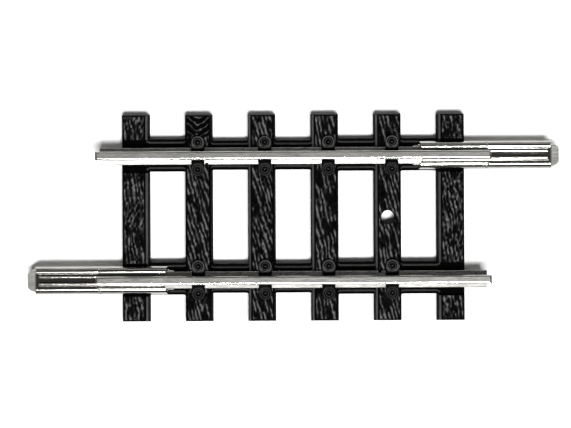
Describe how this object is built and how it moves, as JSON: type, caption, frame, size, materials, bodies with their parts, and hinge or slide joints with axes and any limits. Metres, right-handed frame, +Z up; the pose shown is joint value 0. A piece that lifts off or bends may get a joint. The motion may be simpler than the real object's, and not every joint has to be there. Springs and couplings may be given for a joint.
{
  "type": "model track section",
  "caption": "Straight narrow-gauge model track section: moulded sleeper grid, two flat-bottom rails and two sliding folded rail joiners at opposite ends.",
  "frame": {"origin": "on the surface the sleepers stand on, midway between the rails and midway along them", "axes": "+X along the rails towards the far rail's joiner, +Y across the track towards the far rail, +Z up"},
  "size_m": [0.0416, 0.0164, 0.0039],
  "materials": {
    "sleeper_plastic": "near-black moulded plastic with wood-grain relief",
    "rail_metal": "bright drawn nickel silver, finely scratched along its length",
    "joiner_metal": "folded nickel-silver sheet with a soft mill finish"
  },
  "bodies": {
    "track": {"sleeper_grid": "sleeper_plastic", "rail_far": "rail_metal", "rail_near": "rail_metal"},
    "joiner_far_body": {"joiner_far": "joiner_metal"},
    "joiner_near_body": {"joiner_near": "joiner_metal"}
  },
  "joints": [
    {"name": "joiner_far_slide", "type": "slide", "parent": "track", "child": "joiner_far_body", "axis": [1, 0, 0], "range_m": [0, 0.0062]},
    {"name": "joiner_near_slide", "type": "slide", "parent": "track", "child": "joiner_near_body", "axis": [-1, 0, 0], "range_m": [0, 0.0062]}
  ]
}
